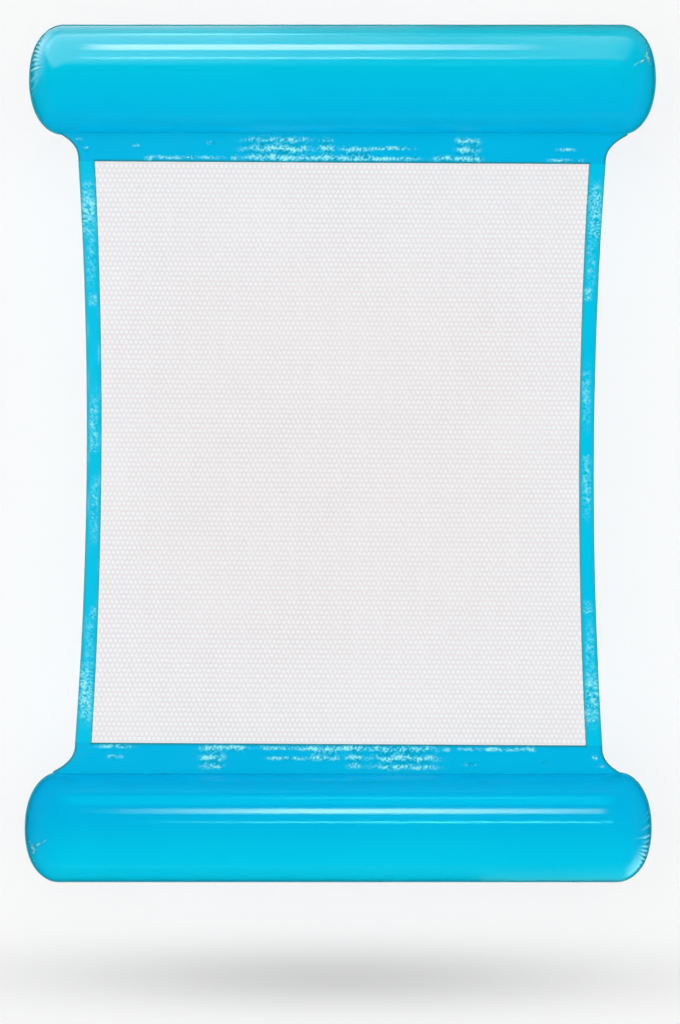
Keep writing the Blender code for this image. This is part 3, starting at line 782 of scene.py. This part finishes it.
# the same paper goes up all round, far off, and only the camera sees it
deselect()
bpy.ops.mesh.primitive_uv_sphere_add(segments=48, ring_count=24, radius=50, location=(0, 0, 0))
backdrop = named("studio_backdrop")
paper_far, tree, shader = new_material("matt_white_paper_far_off")
even = add_node(tree, "ShaderNodeEmission", {"Color": srgb("#f8f8f8"), "Strength": 1.0})
tree.links.new(even.outputs["Emission"], tree.nodes["Material Output"].inputs["Surface"])
backdrop.data.materials.append(paper_far)
backdrop.visible_diffuse = False
backdrop.visible_glossy = False
backdrop.visible_transmission = False
backdrop.visible_shadow = False

# the room beyond the floor is pale at the horizon and dark overhead
world = bpy.data.worlds.new("studio")
bpy.context.scene.world = world
world.use_nodes = True
sky = world.node_tree
place = add_node(sky, "ShaderNodeTexCoord")
height = add_node(sky, "ShaderNodeSeparateXYZ", {}, {"Vector": place.outputs["Generated"]})
wall = add_node(sky, "ShaderNodeValToRGB", {}, {"Fac": height.outputs["Z"]})
wall.color_ramp.elements[0].position = 0.0
wall.color_ramp.elements[0].color = (0.30, 0.31, 0.31, 1)
wall.color_ramp.elements[1].position = 0.06
wall.color_ramp.elements[1].color = (0.02, 0.02, 0.02, 1)
below = add_node(
    sky, "ShaderNodeMath", {"operation": "GREATER_THAN", 1: -0.005}, {0: height.outputs["Z"]}
)
sky.links.new(wall.outputs["Color"], sky.nodes["Background"].inputs["Color"])
sky.links.new(below.outputs["Value"], sky.nodes["Background"].inputs["Strength"])


def lamp(name, kind, location, target, receivers=()):
    """A lamp that points at its target, and lights only the pieces named, if any are."""
    data = bpy.data.lights.new(name, kind)
    thing = bpy.data.objects.new(name, data)
    bpy.context.collection.objects.link(thing)
    thing.location = location
    thing.rotation_euler = (Vector(target) - thing.location).to_track_quat("-Z", "Y").to_euler()
    thing.visible_camera = False
    if receivers:
        lit = bpy.data.collections.new(f"{name}_lit")
        for receiver in receivers:
            lit.objects.link(bpy.data.objects[receiver])
        thing.light_linking.receiver_collection = lit
    return thing


overhead = lamp("overhead", "SUN", (-0.3, 0.2, 3), (0, 0, 0))
overhead.data.energy = 0.12 * FULL_LIGHT
overhead.data.angle = math.radians(70)
overhead.data.cycles.use_multiple_importance_sampling = False
overhead.visible_glossy = False

floor_light = lamp("floor_light", "SUN", (0, 0, 7), (0, 0, 0), ["studio_floor"])
floor_light.data.energy = 0.83 * FULL_LIGHT
floor_light.data.use_shadow = False

panel = ["net", "head_band", "foot_band", "left_strip", "right_strip"]
head_valve, foot_valve = (
    [f"{end}_{name}" for name in ("welded_disc", "blow_neck", "stopper", "stopper_strap", "valve_flap")]
    for end in ("head", "foot")
)
NEUTRAL = (1, 1, 1)

# name, place, side of the square box, brightness, colour, casts shadows, what it lights
for name, location, side, radiance, tint, shadow, receivers in (
    ("panel_box", (-0.3, 0.2, 3), 4.2, 0.40, NEUTRAL, True, panel + head_valve + foot_valve),
    ("panel_fill", (0, 0, 7), 12, 0.97, NEUTRAL, False, panel),
    ("head_box", (-0.3, 0.2, 3), 4.2, 1.216, (1, 1, 0.882), True, ["head_pillow"]),
    ("head_outer_fill", (0, 4.4, 1.35), 3, 2.045, (1, 1, 0.658), False, ["head_pillow", *head_valve]),
    ("head_inner_fill", (0, -3.5, 1.35), 3, 1.646, (0.617, 0.617, 1), False, ["head_pillow"]),
    ("head_left_fill", (-4.4, PILLOW_Y, 1.35), 3, 1.42, (1, 1, 0.951), False, ["head_pillow"]),
    ("head_right_fill", (4.4, PILLOW_Y, 1.35), 3, 1.9, (0.937, 0.937, 1), False, ["head_pillow"]),
    ("head_bounce", (0, -2.0, -3.4), 3, 1.3, NEUTRAL, False, ["head_pillow"]),
    ("foot_bounce", (0, 2.0, -3.4), 3, 0.5, NEUTRAL, False, ["foot_pillow"]),
    ("foot_box", (-0.3, 0.2, 3), 4.2, 1.116, (1, 1, 0.918), True, ["foot_pillow"]),
    ("foot_outer_fill", (0, -4.4, 1.35), 3, 3.089, (1, 1, 0.82), False, ["foot_pillow", *foot_valve]),
    ("foot_inner_fill", (0, 3.5, 1.35), 3, 1.432, (0.473, 0.473, 1), False, ["foot_pillow"]),
    ("foot_left_fill", (-4.4, -PILLOW_Y, 1.35), 3, 1.35, (0.5, 0.5, 1), False, ["foot_pillow"]),
    ("foot_right_fill", (4.4, -PILLOW_Y, 1.35), 3, 2.25, (0.76, 0.76, 1), False, ["foot_pillow"]),
):
    soft = lamp(name, "AREA", location, (0, 0, 0), receivers)
    soft.data.size = side
    soft.data.energy = 4 * radiance * side ** 2
    soft.data.color = tint
    soft.data.cycles.use_multiple_importance_sampling = False
    soft.data.use_shadow = shadow
    soft.visible_glossy = False

# name, place, what it points at, width and height, brightness, colour, the piece that it
# lights, and how its brightness runs from its left end, 0, to its right end, 1
for name, location, target, size, radiance, tint, receiver, soft_edge, run in (
    (
        "head_streak", (-0.0445, 0.995, 0.379), (-0.0445, 0.489, 0.125), (0.631, 0.150), 8.9,
        (1, 0.78, 0.78), "head_pillow", 0.1,
        (
            (0, 0.05), (0.018, 0.5), (0.036, 0.85), (0.07, 1), (0.55, 1), (0.72, 0.8), (0.83, 0.6),
            (0.92, 0.38), (1, 0.1),
        ),
    ),
    (
        "head_line", (-0.042, 1.083, 0.926), (-0.042, 0.475, 0.130), (0.707, 0.026), 21,
        (0.45, 1, 1), "head_pillow", 0.1,
        ((0, 0.2), (0.012, 0.95), (0.1, 1), (0.5, 0.85), (0.6, 0.7), (0.8, 0.5), (1, 0.25)),
    ),
    (
        "head_low_line", (-0.042, 0.990, -0.055), (-0.042, 0.507, 0.111), (0.707, 0.06), 4.0,
        (0.4, 0.85, 1), "head_pillow", 0.3,
        ((0, 0), (0.06, 0), (0.2, 1), (0.4, 1), (0.6, 0.35), (1, 0.2)),
    ),
    (
        "head_left_wash", (-1.0715, 1.117, 0.322), (-1.0715, 0.527, 0.042), (2.257, 1.47), 2.1,
        NEUTRAL, "head_pillow", 0.427,
        ((0, 0.1), (0.0975, 0.6), (0.19, 1), (0.7975, 1), (0.9105, 0.5), (0.9495, 0.2), (1, 0)),
    ),
    (
        "head_right_wash", (0.4, 1.102, 0.354), (0.4, 0.512, 0.074), (1.6, 0.95), 2.1,
        NEUTRAL, "head_pillow", 0.12,
        (
            (0, 0), (0.159, 0.35), (0.214, 0.42), (0.286, 0.6), (0.346, 0.4), (0.40, 0.5),
            (0.47, 0.72), (0.69, 0.45), (0.965, 0.06), (1, 0),
        ),
    ),
    (
        "head_corner_wash", (-1.02, 0.833, -0.22), (-0.365, 0.485, 0.10), (0.78, 0.86), 1.3,
        (0.8, 0.95, 1), "head_pillow", 0.6, ((0, 0.1), (0.3, 1), (0.75, 1), (1, 0.2)),
    ),
    (
        "head_high_wash", (0.0, 0.897, 1.033), (0.0, 0.466, 0.130), (1.6, 0.24), 1.1,
        (0.12, 0.85, 1), "head_pillow", 0.6, ((0, 0.8), (0.3, 1), (0.7, 1), (1, 0.8)),
    ),
    (
        "head_under_wash", (0.0, 0.93, -0.27), (0.0, 0.52, 0.10), (2.6, 0.72), 0.75,
        NEUTRAL, "head_pillow", 0.2,
        ((0, 1), (0.4, 0.85), (0.444, 0.75), (0.478, 0.42), (0.522, 0.42), (0.56, 0.14), (1, 0.18)),
    ),
    (
        "foot_streak", (0.1895, 0.420, 1.115), (0.1895, -0.433, 0.127), (1.121, 0.255), 13.4,
        (0.75, 1, 0.7), "foot_pillow", 0.25,
        (
            (0, 0.03), (0.079, 0.25), (0.136, 0.45), (0.194, 0.65), (0.251, 0.9), (0.305, 1),
            (0.473, 0.83), (0.617, 0.55), (0.674, 0.38), (0.717, 0.22), (0.8, 0.06), (1, 0),
        ),
    ),
    (
        "foot_line", (0.3185, -0.103, 1.2255), (0.3185, -0.446, 0.131), (1.263, 0.035), 21,
        (0.15, 1, 0.88), "foot_pillow", 0.1,
        (
            (0, 0), (0.059, 0.35), (0.177, 0.8), (0.265, 0.8), (0.295, 1), (0.471, 1),
            (0.53, 0.85), (0.6, 0.7), (1, 0.3),
        ),
    ),
    (
        "foot_faint", (0.102, 0.482, 0.421), (0.102, -0.418, 0.118), (0.578, 0.05), 2.5,
        (0.2, 1, 1), "foot_pillow", 0.3, ((0, 0.2), (0.2, 0.8), (0.5, 1), (0.8, 0.7), (1, 0.3)),
    ),
    (
        "foot_corner_wash", (0.761, -0.835, -0.207), (0.363, -0.503, 0.093), (0.52, 0.64), 1.4,
        (0.7, 1, 0.8), "foot_pillow", 0.6, ((0, 0.1), (0.3, 1), (0.7, 1), (1, 0.1)),
    ),
    (
        "foot_under_wash", (0.75, -0.93, -0.27), (0.75, -0.52, 0.10), (1.1, 0.9), 0.45,
        (0.25, 1, 0.8), "foot_pillow", 0.5, ((0, 0.2), (0.3, 0.8), (0.6, 1), (1, 0.6)),
    ),
    (
        "foot_wash", (0.0, 0.451, 0.499), (0.0, -0.42, 0.12), (1.5, 0.44), 2.4,
        (0, 1, 0.72), "foot_pillow", 0.3,
        ((0, 0.4), (0.1, 0.6), (0.3, 0.9), (0.7, 1), (0.86, 0.9), (0.92, 0.2), (1, 0)),
    ),
):
    strip_lamp = lamp(name, "AREA", location, target, [receiver])
    strip_lamp.data.shape = "RECTANGLE"
    strip_lamp.data.size, strip_lamp.data.size_y = size
    strip_lamp.data.energy = 4 * radiance * size[0] * size[1]
    strip_lamp.data.color = tint
    strip_lamp.visible_diffuse = False
    strip_lamp.data.use_nodes = True
    tree = strip_lamp.data.node_tree
    place = add_node(tree, "ShaderNodeNewGeometry")
    along = add_node(tree, "ShaderNodeSeparateXYZ", {}, {"Vector": place.outputs["Parametric"]})
    from_left = add_node(
        tree, "ShaderNodeMath", {"operation": "SUBTRACT", 0: 1.0}, {1: along.outputs["X"]}
    )
    ramp = add_node(tree, "ShaderNodeValToRGB", {}, {"Fac": from_left.outputs["Value"]})
    for stop, (position, strength) in enumerate(run):
        if stop < 2:
            element = ramp.color_ramp.elements[stop]
            element.position = position
        else:
            element = ramp.color_ramp.elements.new(position)
        element.color = (strength, strength, strength, 1)
    low_to_high = add_node(
        tree, "ShaderNodeMath", {"operation": "MULTIPLY_ADD", 1: 2.0, 2: -1.0}, {0: along.outputs["Y"]}
    )
    off_middle = add_node(
        tree, "ShaderNodeMath", {"operation": "ABSOLUTE"}, {0: low_to_high.outputs["Value"]}
    )
    fade = add_node(
        tree, "ShaderNodeMapRange",
        {
            "interpolation_type": "SMOOTHSTEP", "From Min": 1.0, "From Max": 1.0 - soft_edge,
            "To Min": 0.0, "To Max": 1.0,
        },
        {"Value": off_middle.outputs["Value"]},
    )
    strength = add_node(
        tree, "ShaderNodeMath", {"operation": "MULTIPLY"},
        {0: ramp.outputs["Color"], 1: fade.outputs["Result"]},
    )
    tree.links.new(strength.outputs["Value"], tree.nodes["Emission"].inputs["Strength"])

pressed_film = ["head_band", "foot_band", "left_strip", "right_strip"]
glint = lamp("glint", "SUN", (-0.6, 0.1, 2.8), (0, 0, 0), pressed_film)
glint.data.angle = math.radians(6)
glint.data.energy = 0.06
glint.visible_diffuse = False


# Camera: straight above, with the head pillow at the top, as in the photograph.
CAMERA_HEIGHT = 4.0
CAMERA_Y = -0.0718
CAMERA_TURN = 0.0057
VIEW_HEIGHT = 1.2544

camera_data = bpy.data.cameras.new("camera")
camera = bpy.data.objects.new("camera", camera_data)
bpy.context.collection.objects.link(camera)
camera_data.sensor_width = 36
camera_data.lens = 36 * CAMERA_HEIGHT / VIEW_HEIGHT
camera.location = (0.0, CAMERA_Y, MIDDLE_Z + CAMERA_HEIGHT)
camera.rotation_euler = (0, 0, CAMERA_TURN)
bpy.context.scene.camera = camera
bpy.context.scene.view_settings.view_transform = "Standard"
